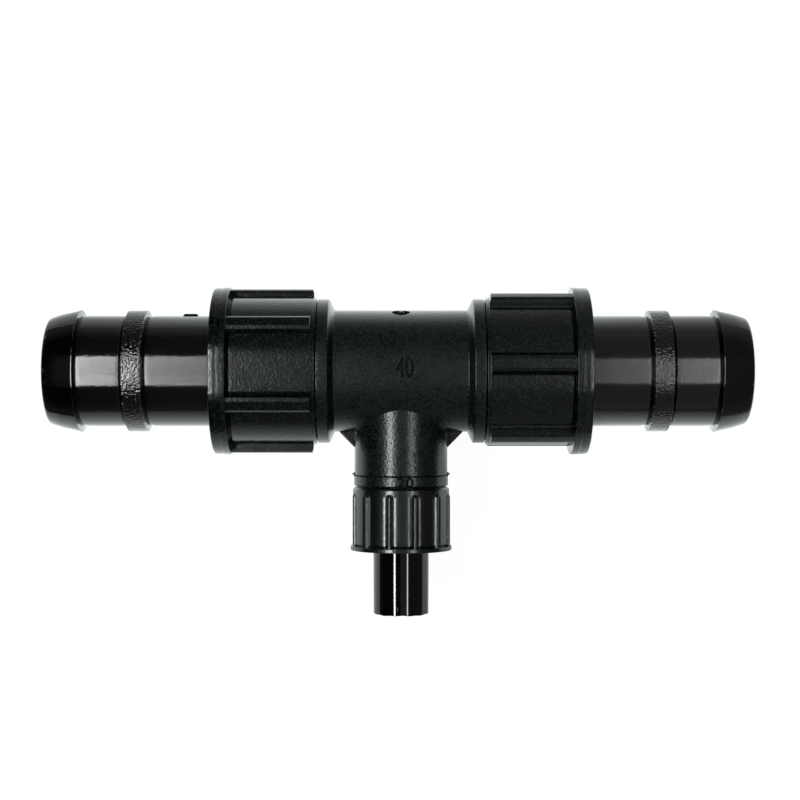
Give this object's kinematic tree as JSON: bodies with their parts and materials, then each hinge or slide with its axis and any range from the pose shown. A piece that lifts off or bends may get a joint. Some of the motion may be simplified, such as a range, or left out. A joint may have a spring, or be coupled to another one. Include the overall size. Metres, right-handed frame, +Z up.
{
  "type": "reducing tee fitting",
  "caption": "Black plastic reducing tee whose threaded ends carry ribbed union nuts, barbed hose tails on the run and a plain tail on the branch.",
  "frame": {"origin": "under the middle of the box, on the surface that the run nuts' flanges stand on", "axes": "+X along the run to the right tail, -Y along the branch, +Z up, square to the plane of the tee"},
  "size_m": [0.2428, 0.114, 0.0583],
  "materials": {
    "tee_plastic": "fine moulded grain, black",
    "nut_plastic": "satin moulded, black",
    "tail_plastic": "satin with turning marks, black",
    "pipe_plastic": "drawn gloss, black",
    "washer_rubber": "matt, black"
  },
  "bodies": {
    "tee": {"tee_body": "tee_plastic"},
    "left_washer": {"left_washer": "washer_rubber"},
    "left_nut": {"left_nut": "nut_plastic"},
    "left_tail": {"left_tail": "tail_plastic"},
    "right_washer": {"right_washer": "washer_rubber"},
    "right_nut": {"right_nut": "nut_plastic"},
    "right_tail": {"right_tail": "tail_plastic"},
    "branch_washer": {"branch_washer": "washer_rubber"},
    "branch_nut": {"branch_nut": "nut_plastic"},
    "branch_tail": {"branch_tail": "pipe_plastic"}
  },
  "joints": [
    {"name": "left_union_draw", "type": "slide", "parent": "tee", "child": "left_washer", "axis": [-1, 0, 0], "range_m": [0, 0.02078]},
    {"name": "left_nut_turn", "type": "hinge", "parent": "left_washer", "child": "left_nut", "pos_m": [-0.046, 0.02782, 0.02915], "axis": [-1, 0, 0], "range_deg": [0, 3240]},
    {"name": "left_tail_swivel", "type": "hinge", "parent": "left_washer", "child": "left_tail", "pos_m": [-0.058, 0.02782, 0.02915], "axis": [-1, 0, 0], "continuous": true},
    {"name": "right_union_draw", "type": "slide", "parent": "tee", "child": "right_washer", "axis": [1, 0, 0], "range_m": [0, 0.02078]},
    {"name": "right_nut_turn", "type": "hinge", "parent": "right_washer", "child": "right_nut", "pos_m": [0.048, 0.02782, 0.02915], "axis": [1, 0, 0], "range_deg": [0, 3240]},
    {"name": "right_tail_swivel", "type": "hinge", "parent": "right_washer", "child": "right_tail", "pos_m": [0.06, 0.02782, 0.02915], "axis": [1, 0, 0], "continuous": true},
    {"name": "branch_union_draw", "type": "slide", "parent": "tee", "child": "branch_washer", "axis": [0, -1, 0], "range_m": [0, 0.01088]},
    {"name": "branch_nut_turn", "type": "hinge", "parent": "branch_washer", "child": "branch_nut", "pos_m": [0.00105, -0.024, 0.02915], "axis": [0, -1, 0], "range_deg": [0, 2160]},
    {"name": "branch_tail_swivel", "type": "hinge", "parent": "branch_washer", "child": "branch_tail", "pos_m": [0.00105, -0.03, 0.02915], "axis": [0, -1, 0], "continuous": true}
  ],
  "couplings": [
    {"joint": "left_union_draw", "follows": "left_nut_turn", "m_per_rad": 0.00036749},
    {"joint": "right_union_draw", "follows": "right_nut_turn", "m_per_rad": 0.00036749},
    {"joint": "branch_union_draw", "follows": "branch_nut_turn", "m_per_rad": 0.00028871}
  ]
}
